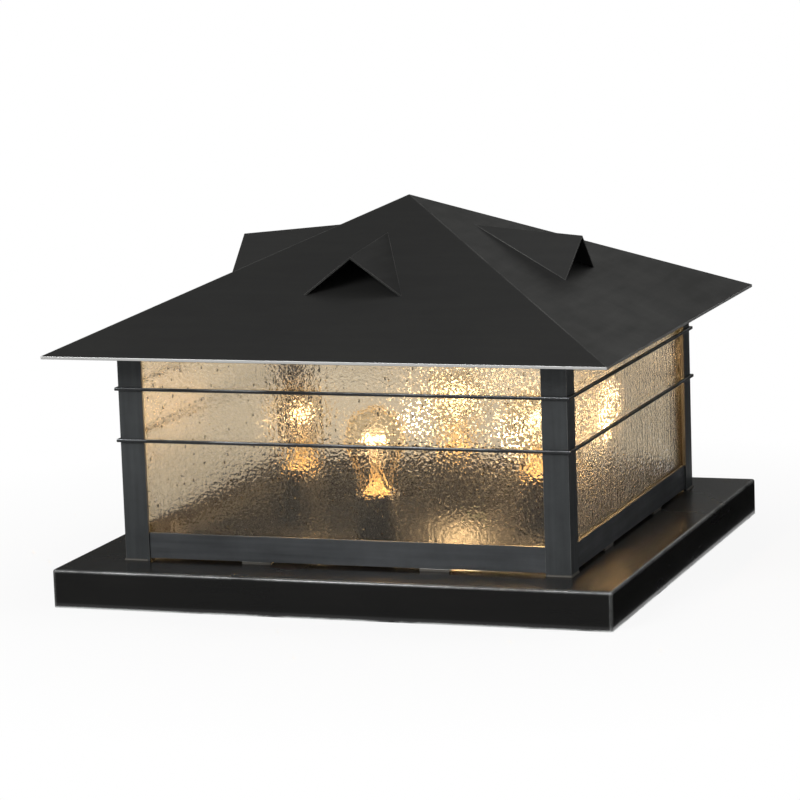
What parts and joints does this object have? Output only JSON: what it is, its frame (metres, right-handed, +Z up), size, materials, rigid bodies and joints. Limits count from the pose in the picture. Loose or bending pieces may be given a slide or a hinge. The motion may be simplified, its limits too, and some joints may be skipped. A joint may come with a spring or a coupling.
{
  "type": "deck post cap light",
  "caption": "Square lantern that caps a deck post or pier: folded tray, angle frame with seedy panes, standing lamps and a lift-off hipped roof with gable dormers.",
  "frame": {"origin": "middle of the tray's lower rim, at the bottom of the bounding box", "axes": "+Z up along the lantern's axis, -Y towards the front side"},
  "size_m": [0.5684, 0.5684, 0.3757],
  "materials": {
    "blackened_steel": "satin black patina, rubbed to bare metal along the edges",
    "seedy_glass": "clear seedy glass with a faint amber cast, rippled, with small bubbles",
    "bulb_glass": "clear blown glass",
    "stem_glass": "clear glass stem with its wires",
    "lamp_cap_metal": "bright threaded cap",
    "brass_shell": "pressed screw shell",
    "black_phenolic": "moulded black phenolic",
    "zinc_steel": "zinc plated",
    "black_rubber": "matt",
    "block_plastic": "moulded, natural grey",
    "lead_insulation": "extruded insulation",
    "green_screw": "green lacquer"
  },
  "bodies": {
    "frame": {"deck_plate": "blackened_steel", "corner_post_front_left": "blackened_steel", "corner_post_front_right": "blackened_steel", "corner_post_back_right": "blackened_steel", "corner_post_back_left": "blackened_steel", "bottom_rail_front": "blackened_steel", "top_rail_front": "blackened_steel", "glass_pane_front": "seedy_glass", "bottom_rail_right": "blackened_steel", "top_rail_right": "blackened_steel", "glass_pane_right": "seedy_glass", "bottom_rail_back": "blackened_steel", "top_rail_back": "blackened_steel", "glass_pane_back": "seedy_glass", "bottom_rail_left": "blackened_steel", "top_rail_left": "blackened_steel", "glass_pane_left": "seedy_glass", "rail_pads": "blackened_steel", "trim_ring_lower": "blackened_steel", "trim_ring_upper": "blackened_steel", "glazing_strips": "black_rubber", "setting_blocks": "black_rubber", "glass_clips": "zinc_steel", "clip_screws": "zinc_steel", "socket_front": "black_phenolic", "socket_right": "black_phenolic", "socket_back": "black_phenolic", "socket_left": "black_phenolic", "socket_shells": "brass_shell", "socket_nipples": "zinc_steel", "socket_locknuts": "zinc_steel", "terminal_block": "block_plastic", "lead_wires": "lead_insulation", "ground_screw": "green_screw"},
    "roof": {"roof_panel_front": "blackened_steel", "dormer_front": "blackened_steel", "roof_panel_right": "blackened_steel", "dormer_right": "blackened_steel", "roof_panel_back": "blackened_steel", "dormer_back": "blackened_steel", "roof_panel_left": "blackened_steel", "dormer_left": "blackened_steel", "roof_lugs": "blackened_steel"},
    "lamp_front": {"lamp_glass_front": "bulb_glass", "lamp_cap_front": "lamp_cap_metal", "lamp_stem_front": "stem_glass"},
    "lamp_right": {"lamp_glass_right": "bulb_glass", "lamp_cap_right": "lamp_cap_metal", "lamp_stem_right": "stem_glass"},
    "lamp_back": {"lamp_glass_back": "bulb_glass", "lamp_cap_back": "lamp_cap_metal", "lamp_stem_back": "stem_glass"},
    "lamp_left": {"lamp_glass_left": "bulb_glass", "lamp_cap_left": "lamp_cap_metal", "lamp_stem_left": "stem_glass"},
    "roof_screw_front": {"roof_screw_front": "blackened_steel"},
    "roof_screw_right": {"roof_screw_right": "blackened_steel"},
    "roof_screw_back": {"roof_screw_back": "blackened_steel"},
    "roof_screw_left": {"roof_screw_left": "blackened_steel"}
  },
  "joints": [
    {"name": "roof_lift", "type": "slide", "parent": "frame", "child": "roof", "axis": [0, 0, 1], "range_m": [0, 0.15]},
    {"name": "lamp_front_out", "type": "slide", "parent": "frame", "child": "lamp_front", "axis": [0, 0, 1], "range_m": [0, 0.03]},
    {"name": "lamp_right_out", "type": "slide", "parent": "frame", "child": "lamp_right", "axis": [0, 0, 1], "range_m": [0, 0.03]},
    {"name": "lamp_back_out", "type": "slide", "parent": "frame", "child": "lamp_back", "axis": [0, 0, 1], "range_m": [0, 0.03]},
    {"name": "lamp_left_out", "type": "slide", "parent": "frame", "child": "lamp_left", "axis": [0, 0, 1], "range_m": [0, 0.03]},
    {"name": "roof_screw_front_out", "type": "slide", "parent": "frame", "child": "roof_screw_front", "axis": [0, -1, 0], "range_m": [0, 0.01]},
    {"name": "roof_screw_right_out", "type": "slide", "parent": "frame", "child": "roof_screw_right", "axis": [1, 0, 0], "range_m": [0, 0.01]},
    {"name": "roof_screw_back_out", "type": "slide", "parent": "frame", "child": "roof_screw_back", "axis": [0, 1, 0], "range_m": [0, 0.01]},
    {"name": "roof_screw_left_out", "type": "slide", "parent": "frame", "child": "roof_screw_left", "axis": [-1, 0, 0], "range_m": [0, 0.01]}
  ]
}
